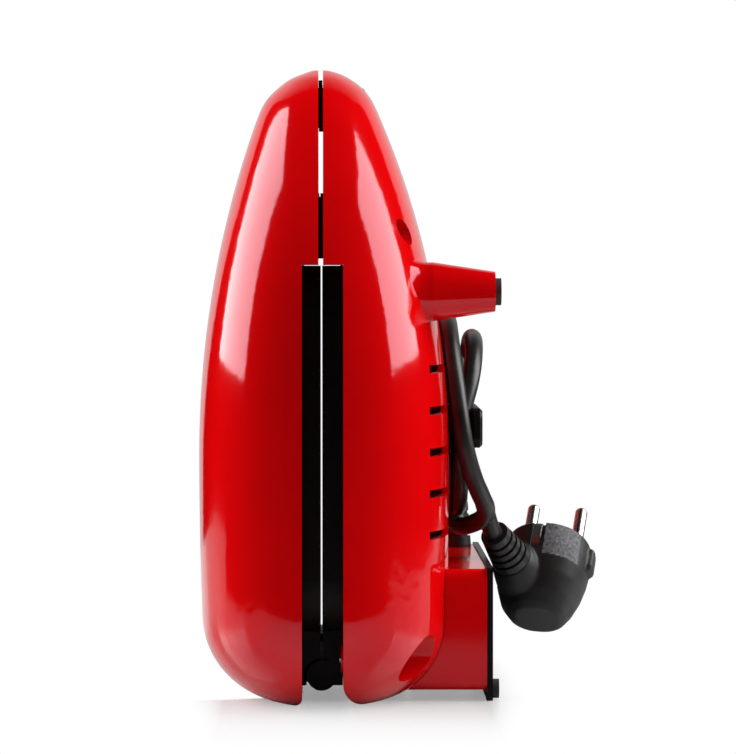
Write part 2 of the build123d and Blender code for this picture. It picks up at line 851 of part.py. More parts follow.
def bend_radii(points):
    """The largest arcs that the runs beside each corner leave room for."""
    radii = []
    for before, at, after in zip(points, points[1:], points[2:]):
        first, second = Vector(*at) - Vector(*before), Vector(*after) - Vector(*at)
        half_turn = math.radians(first.get_angle(second)) / 2
        radii.append(0.45 * min(first.length, second.length) / math.tan(half_turn))
    return radii


def tube(name, points):
    """A free stretch of cord along runs and arcs."""
    radii = bend_radii(points)
    print(name, "radii", [round(radius, 1) for radius in radii])
    path = FilletPolyline(*points, radius=radii)
    start = Plane(origin=points[0], z_dir=path % 0)
    solid = sweep(start * Circle(cord_diameter / 2), path=path)
    print(name, "length", round(path.length, 1), "volume share", round(volume_share(solid, path), 4))
    return solid


def volume_share(solid, path):
    """A tube's volume over its section times its length."""
    return solid.volume / (math.pi * (cord_diameter / 2) ** 2 * path.length)


def least_gap(path):
    """The least distance between a wound tube's turns, measured on points along it."""
    count = 400
    points = [path.position_at(step / count) for step in range(count + 1)]
    spacing = path.length / count
    apart = int(60 / spacing)
    least = min(
        (points[j] - points[i]).length
        for i in range(count + 1)
        for j in range(i + apart, count + 1)
    )
    return least - cord_diameter


def cord_pieces():
    """The lead from the gland, the winding, and the tail to the plug."""
    y = lead_y
    lead_points = [
        (gland_x, y, gland_exit_z),
        (gland_x, y, gland_exit_z + cord_diameter),
        (winding_x, y, winding_z - 2 * cord_diameter),
        (winding_x, y, winding_z - cord_diameter),
    ]
    tail_points = [
        (winding_x, winding_tail_y, winding_z),
        (winding_x, winding_tail_y, winding_z - 9.25),
        (winding_x + 5.6, winding_tail_y + 0.4, winding_z - 20.65),
        (winding_x + 8.6, winding_tail_y + 2.4, winding_z - 28.45),
        tuple(relief_mouth + entry_direction * 9.5),
        tuple(relief_mouth),
    ]
    path = winding_path()
    start = Plane(origin=path @ 0, z_dir=path % 0)
    winding = sweep(start * Circle(cord_diameter / 2), path=path)
    print("winding length", round(path.length, 1), "volume share", round(volume_share(winding, path), 4))
    print("winding least gap", round(least_gap(path), 2))
    return tube("lead", lead_points), winding, tube("tail", tail_points)


def cord_gland():
    """The tapered relief that the cord leaves the rear housing through."""
    y = lead_y
    seat = housing_high_z + 1
    ceiling = housing_high_z - housing_wall
    gland = bar_z(gland_x, y, gland_root_radius, ceiling - 5, seat)
    gland += bar_z(gland_x, y, gland_root_radius, seat, gland_exit_z, gland_tip_radius)
    gland += block(
        base_depth + housing_wall + 0.3,
        housing_outer_x - 0.2,
        y - gland_flange_half,
        y + gland_flange_half,
        ceiling - 0.1 - gland_flange,
        ceiling - 0.1,
    )
    for step in range(gland_ring_count):
        z = seat + 3.5 + gland_ring_pitch * step
        ring = bar_z(gland_x, y, gland_root_radius + 1, z, z + gland_ring_width)
        gland -= ring - bar_z(gland_x, y, gland_tip_radius - 0.2, z - 1, z + 3)
    return gland


def cord_keeper():
    """The bar that keeps the wound cord against the base, on its hub."""
    bar = block(
        keeper_inner_x, keeper_outer_x, -keeper_half_length, keeper_half_length, keeper_low_z, keeper_high_z
    )
    bar = fillet(bar.edges().filter_by(Axis.X), 4.0)
    bar = chamfer(bar.faces().sort_by(Axis.X)[-1].edges(), 1.0)
    hub = block(
        keeper_root_x, keeper_inner_x, keeper_hub_low_y, keeper_hub_high_y, keeper_low_z, keeper_high_z
    )
    hub = fillet(hub.edges().filter_by(Axis.X), 6.0)
    hub -= form(1, -housing_seat_gap)
    keeper = bar + hub
    y, z = keeper_screw_place()
    keeper -= bar_x(y, z, screw_shank_radius, 40, 70)
    return keeper - bar_x(y, z, screw_head_radius + 0.3, keeper_outer_x - 3, 70)


def keeper_screw_place():
    """Middle of the keeper's hub, across and up."""
    return (keeper_hub_low_y + keeper_hub_high_y) / 2, (keeper_low_z + keeper_high_z) / 2


def keeper_screw():
    """The screw that holds the keeper on the base."""
    y, z = keeper_screw_place()
    head_x = keeper_outer_x - 3
    screw = bar_x(y, z, screw_head_radius, head_x, head_x + screw_head_height)
    return screw + bar_x(y, z, screw_shank_radius - 0.05, head_x - screw_length, head_x)


def plug_plane():
    """The plug's face: origin in its middle, z along the pins, x along their row."""
    root = relief_mouth - entry_direction * (relief_length + head_radius)
    face = root + pin_direction * entry_depth - pin_row_direction * entry_offset
    return Plane(origin=face, x_dir=pin_row_direction, z_dir=pin_direction)


def plug_relief():
    """The ringed bend relief on the plug."""
    plane = Plane(origin=relief_mouth, z_dir=-entry_direction)
    relief = Pos(0, 0, relief_length / 2) * Cone(relief_mouth_radius, relief_root_radius, relief_length)
    pitch = relief_length / (relief_rings + 1)
    for ring in range(relief_rings):
        at = pitch * (ring + 1)
        middle = relief_mouth_radius + (relief_root_radius - relief_mouth_radius) * at / relief_length
        groove = Cylinder(middle + 2, relief_ring_width)
        groove -= Cylinder(middle - relief_ring_depth, relief_ring_width)
        relief -= Pos(0, 0, at) * groove
    return plane * relief


def plug_body():
    """The plug: round head, tapering back, and a boss for the angled cable entry."""
    plane = plug_plane()
    head = Pos(0, 0, -head_depth / 2) * Cylinder(head_radius, head_depth)
    back = loft(
        [
            Plane(origin=(0, 0, -head_depth)) * Circle(head_radius),
            Plane(origin=(1.0, 0.5, -0.62 * plug_depth)) * Ellipse(16.0, 16.5),
            Plane(origin=(2.5, 1.5, -0.86 * plug_depth)) * Ellipse(10.0, 12.5),
            Plane(origin=(3.0, 2.0, -plug_depth)) * Ellipse(5.0, 8.0),
        ]
    )
    body = head + back
    for turn in (-1, 1):
        slot = Box(earth_slot_width, 2 * earth_slot_depth, 2 * earth_slot_length)
        body -= Pos(0, turn * head_radius, 0) * slot
    body = plane * body
    boss_plane = Plane(
        origin=relief_mouth - entry_direction * relief_length, z_dir=-entry_direction
    )
    boss = Pos(0, 0, entry_boss_length / 2) * Cone(
        relief_root_radius + 0.6, entry_boss_radius, entry_boss_length
    )
    body += boss_plane * boss
    for turn in (-1, 1):
        bore = Cylinder(plug_pin_radius, plug_pin_root + 1)
        body -= plane * Pos(turn * plug_pin_spacing / 2, 0, 0.5 - plug_pin_root / 2) * bore
    return body


def plug_pins():
    """The two round pins, with domed ends."""
    pins = Part()
    for turn in (-1, 1):
        shaft = Pos(turn * plug_pin_spacing / 2, 0, (plug_pin_length - plug_pin_root) / 2)
        pin = shaft * Cylinder(plug_pin_radius, plug_pin_length + plug_pin_root)
        pin = fillet(pin.edges().sort_by(Axis.Z)[-1], plug_pin_radius * 0.8)
        pins += plug_plane() * pin
    return pins


def plug_earth_clips():
    """The two spring strips in the earth slots."""
    clips = Part()
    y = head_radius - earth_slot_depth + earth_clip_thickness / 2
    for turn in (-1, 1):
        clip = Box(earth_slot_width - 1.4, earth_clip_thickness, earth_clip_length)
        clips += plug_plane() * Pos(0, turn * y, -earth_clip_length / 2) * clip
    return clips


save("lid_shell", lid_shell())
save("base_shell", base_shell())
save("lid_handle_liner", handle_liner(-1))
save("base_handle_liner", handle_liner(1))
save("latch_clip", latch_clip())
save("latch_pin", latch_pin())
for side, half_name in ((-1, "lid"), (1, "base")):
    save(f"{half_name}_cooking_plate", cooking_plate(side))
    save(f"{half_name}_heating_element", heating_element(side))
    save(f"{half_name}_reflector", reflector(side))
    save(f"{half_name}_plate_screws", plate_screws(side))
save("thermostat", thermostat())
save("thermal_fuse", thermal_fuse())
save("lamp_lens_red", lamp_lens(-lamp_y))
save("lamp_lens_green", lamp_lens(lamp_y))
save("lamp_bulbs", lamp_bulbs())
save("base_hinge_brackets", base_hinges())
save("lid_hinge_brackets", lid_hinges())
save("hinge_pins", both_sides(bar_y(0, hinge_z, pin_radius, hinge_inner_y, hinge_outer_y - hinge_cap)))
save("base_shell_screws", base_shell_screws())
save("front_foot_pads", foot_pads())
save("rear_housing", rear_housing())
save("rear_cover", rear_cover())
save("rear_cover_screws", rear_cover_screws())
save("rear_foot_pads", rear_pads())
save("terminal_block", terminal_block())
save("cord_gland", cord_gland())
save("cord_keeper", cord_keeper())
save("keeper_screw", keeper_screw())
lead, winding, tail = cord_pieces()
save("cord_lead", lead)
save("cord_winding", winding)
save("cord_tail", tail)
save("plug_relief", plug_relief())
save("plug_body", plug_body())
save("plug_pins", plug_pins())
save("plug_earth_clips", plug_earth_clips())
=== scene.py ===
import json
import math

import bpy
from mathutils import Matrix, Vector


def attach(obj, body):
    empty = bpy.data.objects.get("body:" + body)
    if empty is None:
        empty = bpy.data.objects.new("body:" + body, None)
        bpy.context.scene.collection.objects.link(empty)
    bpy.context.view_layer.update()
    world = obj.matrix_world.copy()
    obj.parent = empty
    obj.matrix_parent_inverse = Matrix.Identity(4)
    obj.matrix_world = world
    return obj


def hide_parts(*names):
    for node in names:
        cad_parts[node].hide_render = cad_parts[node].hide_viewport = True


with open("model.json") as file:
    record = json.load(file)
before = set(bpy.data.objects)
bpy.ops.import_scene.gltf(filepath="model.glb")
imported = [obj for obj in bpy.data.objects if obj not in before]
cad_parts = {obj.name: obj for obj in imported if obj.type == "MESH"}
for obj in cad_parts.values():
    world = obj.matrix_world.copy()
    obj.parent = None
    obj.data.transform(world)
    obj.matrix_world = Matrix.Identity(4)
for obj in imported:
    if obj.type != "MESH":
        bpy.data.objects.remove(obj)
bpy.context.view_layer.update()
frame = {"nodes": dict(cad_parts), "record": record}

# Places are in millimetres as in the CAD's own drawing: x from the parting plane between lid and
# base, y from the middle, z from the floor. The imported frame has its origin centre_x further
# towards the feet. Sizes of the floor, the backdrop and the lamps are in metres.
centre_x = 9.9
millimetre = 0.001


def place(x, y, z):
    """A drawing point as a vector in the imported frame, in metres."""
    return Vector((x - centre_x, y, z)) * millimetre


# Shader nodes

def number_math(nodes, links, operation, first, second=None):
    """The result of an operation on a socket and, if it needs one, a second socket or number."""
    node = nodes.new("ShaderNodeMath")
    node.operation = operation
    links.new(first, node.inputs[0])
    if isinstance(second, float):
        node.inputs[1].default_value = second
    elif second is not None:
        links.new(second, node.inputs[1])
    return node.outputs["Value"]


def map_range(nodes, links, value, low, high, first, last):
    """A number that goes from first to last while value goes from low to high."""
    node = nodes.new("ShaderNodeMapRange")
    node.inputs["From Min"].default_value = low
    node.inputs["From Max"].default_value = high
    node.inputs["To Min"].default_value = first
    node.inputs["To Max"].default_value = last
    links.new(value, node.inputs["Value"])
    return node.outputs["Result"]


def stretched_coordinates(nodes, links, scale):
    """Object coordinates stretched by scale."""
    source = nodes.new("ShaderNodeTexCoord")
    mapping = nodes.new("ShaderNodeMapping")
    mapping.inputs["Scale"].default_value = scale
    links.new(source.outputs["Object"], mapping.inputs["Vector"])
    return mapping.outputs["Vector"]


def separate_coordinates(nodes, links):
    """Object coordinates as three numbers, under the names X, Y and Z."""
    source = nodes.new("ShaderNodeTexCoord")
    split = nodes.new("ShaderNodeSeparateXYZ")
    links.new(source.outputs["Object"], split.inputs["Vector"])
    return split.outputs


# Materials

grain_per_cloud = 12
grain_depth = 0.0002


def new_material(name, color, roughness, **sockets):
    """A Principled material, with values for its other sockets by name."""
    material = bpy.data.materials.new(name)
    material.use_nodes = True
    shader = material.node_tree.nodes["Principled BSDF"]
    shader.inputs["Base Color"].default_value = (*color, 1.0)
    shader.inputs["Roughness"].default_value = roughness
    for socket, value in sockets.items():
        shader.inputs[socket.replace("_", " ")].default_value = value
    return material


def add_grain(material, scale, low, high, bump, stretch=(1, 1, 1)):
    """Lets the colour vary between low and high, and roughens the surface with fine noise."""
    nodes, links = material.node_tree.nodes, material.node_tree.links
    shader = nodes["Principled BSDF"]
    vector = stretched_coordinates(nodes, links, stretch)
    cloud = nodes.new("ShaderNodeTexNoise")
    cloud.inputs["Scale"].default_value = scale
    cloud.inputs["Detail"].default_value = 4.0
    links.new(vector, cloud.inputs["Vector"])
    ramp = nodes.new("ShaderNodeValToRGB")
    ramp.color_ramp.elements[0].color = (*low, 1.0)
    ramp.color_ramp.elements[1].color = (*high, 1.0)
    ramp.color_ramp.elements[0].position = 0.3
    ramp.color_ramp.elements[1].position = 0.7
    links.new(cloud.outputs["Fac"], ramp.inputs["Fac"])
    links.new(ramp.outputs["Color"], shader.inputs["Base Color"])
    grain = nodes.new("ShaderNodeTexNoise")
    grain.inputs["Scale"].default_value = scale * grain_per_cloud
    grain.inputs["Detail"].default_value = 3.0
    links.new(vector, grain.inputs["Vector"])
    relief = nodes.new("ShaderNodeBump")
    relief.inputs["Strength"].default_value = bump
    relief.inputs["Distance"].default_value = grain_depth
    links.new(grain.outputs["Fac"], relief.inputs["Height"])
    links.new(relief.outputs["Normal"], shader.inputs["Normal"])
    return material


red_gloss = add_grain(
    new_material(
        "red_gloss", (0.72, 0.0008, 0.002), roughness=0.09, Specular_Tint=(1.0, 0.82, 0.97, 1.0)
    ),
    scale=60,
    low=(0.70, 0.0006, 0.0018),
    high=(0.74, 0.001, 0.0022),
    bump=0.01,
)
black_satin = add_grain(
    new_material("black_satin", (0.004, 0.003, 0.003), roughness=0.4, Specular_IOR_Level=0.2),
    scale=180,
    low=(0.0025, 0.002, 0.002),
    high=(0.005, 0.004, 0.004),
    bump=0.12,
)
plate_coating = add_grain(
    new_material("plate_coating", (0.003, 0.002, 0.002), roughness=0.5, Specular_IOR_Level=0.15),
    scale=220,
    low=(0.002, 0.0012, 0.0012),
    high=(0.004, 0.003, 0.003),
    bump=0.2,
)
bright_steel = add_grain(
    new_material("bright_steel", (0.6, 0.6, 0.61), roughness=0.28, Metallic=1.0),
    scale=90,
    low=(0.5, 0.5, 0.51),
    high=(0.66, 0.66, 0.67),
    bump=0.06,
)
pin_nickel = add_grain(
    new_material("pin_nickel", (0.72, 0.71, 0.69), roughness=0.27, Metallic=1.0),
    scale=120,
    low=(0.66, 0.65, 0.63),
    high=(0.76, 0.75, 0.73),
    bump=0.005,
)
dull_steel = add_grain(
    new_material("dull_steel", (0.3, 0.28, 0.26), roughness=0.5, Metallic=1.0),
    scale=150,
    low=(0.2, 0.18, 0.17),
    high=(0.38, 0.36, 0.33),
    bump=0.15,
)
sheet_metal = add_grain(
    new_material("sheet_metal", (0.7, 0.7, 0.71), roughness=0.32, Metallic=1.0),
    scale=70,
    low=(0.62, 0.62, 0.63),
    high=(0.74, 0.74, 0.75),
    bump=0.05,
    stretch=(1, 1, 8),
)
foot_rubber = add_grain(
    new_material("foot_rubber", (0.03, 0.03, 0.03), roughness=0.7),
    scale=300,
    low=(0.022, 0.022, 0.022),
    high=(0.04, 0.04, 0.04),
    bump=0.3,
)
cord_rubber = add_grain(
    new_material("cord_rubber", (0.025, 0.025, 0.027), roughness=0.36),
    scale=200,
    low=(0.009, 0.008, 0.008),
    high=(0.017, 0.016, 0.016),
    bump=0.1,
)
plug_rubber = add_grain(
    new_material("plug_rubber", (0.02, 0.018, 0.018), roughness=0.5),
    scale=160,
    low=(0.012, 0.011, 0.011),
    high=(0.02, 0.018, 0.018),
    bump=0.15,
)
plug_grip = add_grain(
    new_material("plug_grip", (0.06, 0.06, 0.065), roughness=0.5),
    scale=900,
    low=(0.04, 0.04, 0.043),
    high=(0.2, 0.2, 0.22),
    bump=0.6,
)
white_moulding = add_grain(
    new_material("white_moulding", (0.8, 0.79, 0.75), roughness=0.4),
    scale=120,
    low=(0.76, 0.75, 0.71),
    high=(0.83, 0.82, 0.78),
    bump=0.1,
)
lamp_red = add_grain(
    new_material("lamp_red", (0.7, 0.03, 0.02), roughness=0.1, Transmission_Weight=0.4),
    scale=80,
    low=(0.62, 0.02, 0.015),
    high=(0.75, 0.04, 0.03),
    bump=0.03,
)
lamp_green = add_grain(
    new_material("lamp_green", (0.03, 0.5, 0.1), roughness=0.1, Transmission_Weight=0.4),
    scale=80,
    low=(0.02, 0.42, 0.08),
    high=(0.04, 0.55, 0.13),
    bump=0.03,
)
bulb_glass = add_grain(
    new_material("bulb_glass", (0.9, 0.85, 0.8), roughness=0.08, Transmission_Weight=0.6),
    scale=80,
    low=(0.86, 0.8, 0.74),
    high=(0.92, 0.88, 0.84),
    bump=0.02,
)

finishes = {
    "red_housing": red_gloss,
    "black_trim": black_satin,
    "plate_coating": plate_coating,
    "element_sheath": dull_steel,
    "reflector_sheet": sheet_metal,
    "steel": bright_steel,
    "plug_pin_metal": pin_nickel,
    "foot_rubber": foot_rubber,
    "cord_rubber": cord_rubber,
    "terminal_plastic": white_moulding,
    "lamp_red": lamp_red,
    "lamp_green": lamp_green,
    "lamp_bulb_glass": bulb_glass,
}

for subpart in frame["record"]["subparts"]:
    node = frame["nodes"][subpart["node"]]
    for material_slot in node.material_slots:
        material_slot.material = finishes[subpart["material_slot"]]


def set_material(piece, material):
    """Gives a new piece one material."""
    piece.data.materials.clear()
    piece.data.materials.append(material)


# Cord: one spline from the gland, round the winding, to the plug's relief

cord_diameter = 7.0
winding_x = 52.2
winding_z = 99.25
winding_pitch = 7.5
winding_outer_radius = 42.0
winding_inner_radius = 25.0
winding_half_straight = 8.0
winding_half_turns = 5
winding_tail_y = -26.0
gland_exit = (54.2, 50.0, 67.0)
relief_mouth = (66.5, -13.6, 58.5)
arc_steps = 8

# How far out a strand lies at a height, as pairs of height and distance from the parting plane.
# The near strand follows the base and swings out to the plug. The third half turn leans out.
over_the_top = ((141.0, 48.4), (131.8, 48.9), (115.0, 50.6), (99.0, 52.7))
down_to_the_plug = ((99.0, 52.7), (91.6, 54.0), (77.6, 58.6), (66.8, 64.4), (61.5, 54.0))
leaning_loop = ((137.0, 58.6), (125.0, 58.0), (114.0, 55.6), (107.0, 52.9), (99.0, 52.2))


def lean(pairs, z):
    """The distance out at a height, straight between the pairs."""
    for (high, far), (low, near) in zip(pairs, pairs[1:]):
        if z >= low:
            return near + (far - near) * min((z - low) / (high - low), 1.0)
    return pairs[-1][1]


def strand_x(half_turn, y, z):
    """How far out the cord lies at a place of its winding."""
    if half_turn == 0:
        return lean(over_the_top, z)
    if half_turn == 1 and y < 0:
        return lean(down_to_the_plug, z)
    if half_turn == 2:
        return lean(leaning_loop, z)
    return winding_x


def half_turn_points(half_turn, first_centre, second_centre, radius, sense):
    """Control points of a half turn over the top (sense 1) or under the bottom (sense -1)."""
    points = []
    outer = radius / math.cos(math.pi / (2 * arc_steps))
    for step in range(arc_steps):
        angle = math.pi * (step + 0.5) / arc_steps
        centre = first_centre if angle < math.pi / 2 else second_centre
        y = centre + sense * outer * math.cos(angle)
        z = winding_z + sense * outer * math.sin(angle)
        points.append((strand_x(half_turn, y, z), y, z))
    return points


def winding_points():
    """The winding from its outer end inwards, as half turns that shrink by half a pitch."""
    y = winding_half_straight + winding_outer_radius
    points = [(winding_x, y, winding_z)]
    for half_turn in range(winding_half_turns):
        last = half_turn == winding_half_turns - 1
        sense = 1 if half_turn % 2 == 0 else -1
        radius = winding_outer_radius - half_turn * winding_pitch / 2
        if last:
            radius = winding_inner_radius
        first_centre = y - sense * radius
        if last:
            second_centre = winding_tail_y + radius
        elif sense == 1:
            second_centre = -winding_half_straight
        else:
            second_centre = winding_half_straight - winding_pitch / 2
        points += half_turn_points(half_turn, first_centre, second_centre, radius, sense)
        y = second_centre - sense * radius
    points.append((winding_x, y, winding_z))
    return points


lead_points = [
    gland_exit,
    (54.2, 50.0, 74.0),
    (winding_x, 50.0, 85.0),
]
tail_points = [
    (winding_x, winding_tail_y, 90.0),
    (58.2, -24.0, 80.0),
    (62.3, -20.6, 71.5),
    (64.3, -17.1, 61.7),
    relief_mouth,
]
cord_points = lead_points + winding_points() + tail_points


def round_cord(name, points, diameter):
    """A cord as a smooth curve with these control points."""
    curve = bpy.data.curves.new(name, "CURVE")
    curve.dimensions = "3D"
    curve.bevel_depth = diameter / 2 * millimetre
    curve.bevel_resolution = 6
    curve.resolution_u = 6
    curve.use_fill_caps = True
    spline = curve.splines.new("NURBS")
    spline.points.add(len(points) - 1)
    for point, where in zip(spline.points, points):
        point.co = (*place(*where), 1.0)
    spline.order_u = 3
    spline.use_endpoint_u = True
    piece = bpy.data.objects.new(name, curve)
    bpy.context.collection.objects.link(piece)
    return piece


mains_cord = round_cord("mains_cord", cord_points, cord_diameter)
set_material(mains_cord, cord_rubber)
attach(mains_cord, "base")
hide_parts("cord_lead", "cord_winding", "cord_tail")

# Plug: its moulded body in its own directions, which are across from pin to pin, along from slot
# to slot, and back from the face that the pins stand on

pin_direction = Vector((0.17, 0.60, 0.78)).normalized()
row_hint = Vector((0.977, -0.20, -0.06)).normalized()
row_direction = (row_hint - pin_direction * row_hint.dot(pin_direction)).normalized()
slot_direction = pin_direction.cross(row_direction)
entry_direction = Vector((-0.42, -0.67, 0.61)).normalized()
relief_length = 17.0
head_radius = 19.0
entry_depth = 18.8
entry_offset = -6.0
relief_end = Vector(relief_mouth) - entry_direction * relief_length
plug_face = (
    relief_end
    - entry_direction * head_radius
    + pin_direction * entry_depth
    - row_hint * entry_offset
)

# Each ring gives its middle across, along and back, its two half widths, and how square it is.
head_rings = (
    (-0.6, 0, 0.6, 15.9, 17.9, 2.2),
    (-0.6, 0, 1.4, 16.6, 18.6, 2.2),
    (-0.6, 0, 9.0, 17.0, 18.8, 2.2),
    (-1.2, 0, 15.0, 17.0, 18.0, 2.3),
    (-2.2, 0.5, 21.0, 16.6, 16.5, 2.4),
    (-2.4, 1.5, 27.0, 14.2, 14.0, 2.5),
    (-2.0, 2.5, 31.0, 11.0, 11.0, 2.6),
    (-1.6, 3.0, 32.6, 8.4, 8.6, 2.6),
)
entry_rings = (
    (0, 0, 0.0, 8.2, 8.2, 2.0),
    (0, 0, 4.0, 9.4, 9.4, 2.0),
    (0, 0, 12.0, 11.0, 11.0, 2.2),
    (0, 0, 20.0, 9.0, 9.0, 2.4),
)
tab_rings = (
    (15.6, -2.0, 3.0, 1.6, 3.4, 4.0),
    (16.2, -2.0, 4.0, 2.0, 4.2, 4.0),
    (16.2, -2.0, 11.5, 2.0, 4.2, 4.0),
    (15.0, -2.0, 13.5, 1.6, 3.4, 4.0),
)
slot_across = -3.0
slot_half_width = 2.4
slot_half_depth = 3.2
slot_from_back = -2.0
slot_to_back = 12.0
slot_squareness = 8.0
fuse_voxel = 0.55

# The clips bow out from the slots' floors, as pairs of back and bow.
clip_across = -3.6
clip_along = 15.9
clip_half_width = 1.6
clip_half_thickness = 0.4
clip_points = 24
clip_bows = ((0.7, 0.6), (2.0, 1.2), (4.5, 1.7), (7.5, 1.7), (10.0, 1.1), (11.4, 0.5))

# The grip is the stippled area of the head beside one slot.
grip_across_from = -0.4
grip_across_to = 13.0
grip_along_to = -3
grip_back_from = 1.4
grip_back_to = 15.0


def plug_point(across, along, back):
    """A place in the plug's own directions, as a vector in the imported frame."""
    where = plug_face + row_direction * across + slot_direction * along - pin_direction * back
    return place(*where)


def entry_point(across, along, back):
    """A place in the directions of the cable entry, with back measured into the plug."""
    side = entry_direction.cross(pin_direction).normalized()
    other = entry_direction.cross(side)
    where = relief_end - entry_direction * back + side * across + other * along
    return place(*where)


def ring_corners(ring, point, count):
    """Points of a ring's rounded outline, put in place by point."""
    middle_across, middle_along, back, half_across, half_along, squareness = ring
    power = 2 / squareness
    corners = []
    for step in range(count):
        turn = 2 * math.pi * step / count
        cosine, sine = math.cos(turn), math.sin(turn)
        across = middle_across + half_across * math.copysign(abs(cosine) ** power, cosine)
        along = middle_along + half_along * math.copysign(abs(sine) ** power, sine)
        corners.append(point(across, along, back))
    return corners


def skin(rings, point=plug_point, count=48):
    """Vertices and faces of a closed skin over the rings."""
    vertices = []
    for ring in rings:
        vertices += ring_corners(ring, point, count)
    faces = [tuple(range(count))]
    for level in range(len(rings) - 1):
        for step in range(count):
            after = (step + 1) % count
            low, high = level * count, (level + 1) * count
            faces.append((low + step, high + step, high + after, low + after))
    faces.append(tuple(range((len(rings) - 1) * count, len(rings) * count))[::-1])
    return vertices, faces


def joined_mesh(name, skins):
    """One object from several skins, each given as vertices and faces."""
    vertices, faces = [], []
    for skin_vertices, skin_faces in skins:
        start = len(vertices)
        vertices += skin_vertices
        faces += [tuple(start + index for index in face) for face in skin_faces]
    mesh = bpy.data.meshes.new(name)
    mesh.from_pydata(vertices, [], faces)
    mesh.validate()
    piece = bpy.data.objects.new(name, mesh)
    bpy.context.collection.objects.link(piece)
    return piece


def slot_cutter(along):
    """A bar that cuts the slot at this distance along."""
    size = (slot_half_width, slot_half_depth, slot_squareness)
    rings = [(slot_across, along, back, *size) for back in (slot_from_back, slot_to_back)]
    return joined_mesh("slot_cutter", [skin(rings)])


def moulded_plug():
    """The plug's body: a round head, a back that narrows, the cable entry, and two slots."""
    skins = [skin(head_rings), skin(entry_rings, entry_point), skin(tab_rings)]
    body = joined_mesh("plug_moulding", skins)
    fuse = body.modifiers.new("fuse", "REMESH")
    fuse.mode = "VOXEL"
    fuse.voxel_size = fuse_voxel * millimetre
    soften = body.modifiers.new("soften", "SMOOTH")
    soften.factor = 0.5
    soften.iterations = 4
    cutters = [slot_cutter(-head_radius), slot_cutter(head_radius)]
    for cutter in cutters:
        cut = body.modifiers.new("slot", "BOOLEAN")
        cut.operation = "DIFFERENCE"
        cut.object = cutter
    bpy.context.view_layer.update()
    finished = body.evaluated_get(bpy.context.evaluated_depsgraph_get())
    body.data = bpy.data.meshes.new_from_object(finished)
    body.modifiers.clear()
    for cutter in cutters:
        bpy.data.objects.remove(cutter)
    body.data.polygons.foreach_set("use_smooth", [True] * len(body.data.polygons))
    return body


def earth_clips():
    """A bowed spring strip on the floor of each slot."""
    size = (clip_half_width, clip_half_thickness, slot_squareness)
    skins = []
    for side in (-1, 1):
        rings = [(clip_across, side * (clip_along + bow), back, *size) for back, bow in clip_bows]
        skins.append(skin(rings, count=clip_points))
    return joined_mesh("earth_clips", skins)


def in_grip(point):
    """Whether a point of the plug's skin lies in the grip."""
    offset = (point - plug_point(0, 0, 0)) / millimetre
    across, along = offset.dot(row_direction), offset.dot(slot_direction)
    back = -offset.dot(pin_direction)
    return (
        grip_across_from < across < grip_across_to
        and along < grip_along_to
        and grip_back_from < back < grip_back_to
    )


plug_moulding = moulded_plug()
set_material(plug_moulding, plug_rubber)
plug_moulding.data.materials.append(plug_grip)
for face in plug_moulding.data.polygons:
    if in_grip(face.center):
        face.material_index = 1
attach(plug_moulding, "base")
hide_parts("plug_body")

clips = earth_clips()
set_material(clips, sheet_metal)
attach(clips, "base")
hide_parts("plug_earth_clips")

# Floor and backdrop

# The table top ends where its reflection in the glossy sides does. Near the object it keeps the
# shadow and the reflection. Further out the camera sees through it: the white world, and the
# open lid, which reaches below the table because the object stands on its hinge end. The near
# strip is narrower on the lid's side from narrow_to_y on, where the open lid goes down.
table_corners = (
    (-0.33, -0.3), (0.57, -0.3), (0.57, 0.68), (-0.8, 0.68), (-0.8, 0.28), (-0.4, 0.1)
)
near_left = -0.046
near_left_behind = -0.018
near_right = 0.052
near_length = 0.0615
narrow_from_y = -0.066
narrow_to_y = -0.054
fade_aside = 0.016
fade_ahead = 0.16
near_clear = 0.3

backdrop_distance = 2.6
backdrop_corners = (
    (-0.62, -0.37), (0.62, -0.37), (1.95, 0.8), (1.95, 3.79), (-1.61, 3.79), (-1.61, 0.8)
)
backdrop_glow = 0.6
backdrop_fade_from = 1.71
backdrop_fade_to = 3.79


def flat_sheet(name, corners):
    """A flat face through these corners."""
    mesh = bpy.data.meshes.new(name)
    mesh.from_pydata(corners, [], [tuple(range(len(corners)))])
    sheet = bpy.data.objects.new(name, mesh)
    bpy.context.collection.objects.link(sheet)
    return sheet


def table_clearness(nodes, links):
    """How clear the table is: near_clear in the near strip, and 1 away from it."""
    coordinates = separate_coordinates(nodes, links)
    x, y = coordinates["X"], coordinates["Y"]
    left = map_range(
        nodes, links, y, narrow_from_y, narrow_to_y, near_left, near_left_behind
    )
    past_left = number_math(nodes, links, "SUBTRACT", left, x)
    past_right = number_math(nodes, links, "SUBTRACT", x, near_right)
    aside = number_math(nodes, links, "MAXIMUM", past_left, past_right)
    aside = number_math(nodes, links, "MAXIMUM", aside, 0.0)
    aside = number_math(nodes, links, "DIVIDE", aside, fade_aside)
    ahead = number_math(nodes, links, "ABSOLUTE", y)
    ahead = number_math(nodes, links, "SUBTRACT", ahead, near_length)
    ahead = number_math(nodes, links, "MAXIMUM", ahead, 0.0)
    ahead = number_math(nodes, links, "DIVIDE", ahead, fade_ahead)
    away = number_math(nodes, links, "ADD", aside, ahead)
    nearness = map_range(nodes, links, away, 0.0, 1.0, 1.0, 0.0)
    squared = number_math(nodes, links, "POWER", nearness, 2.0)
    return map_range(nodes, links, squared, 0.0, 1.0, 1.0, near_clear)


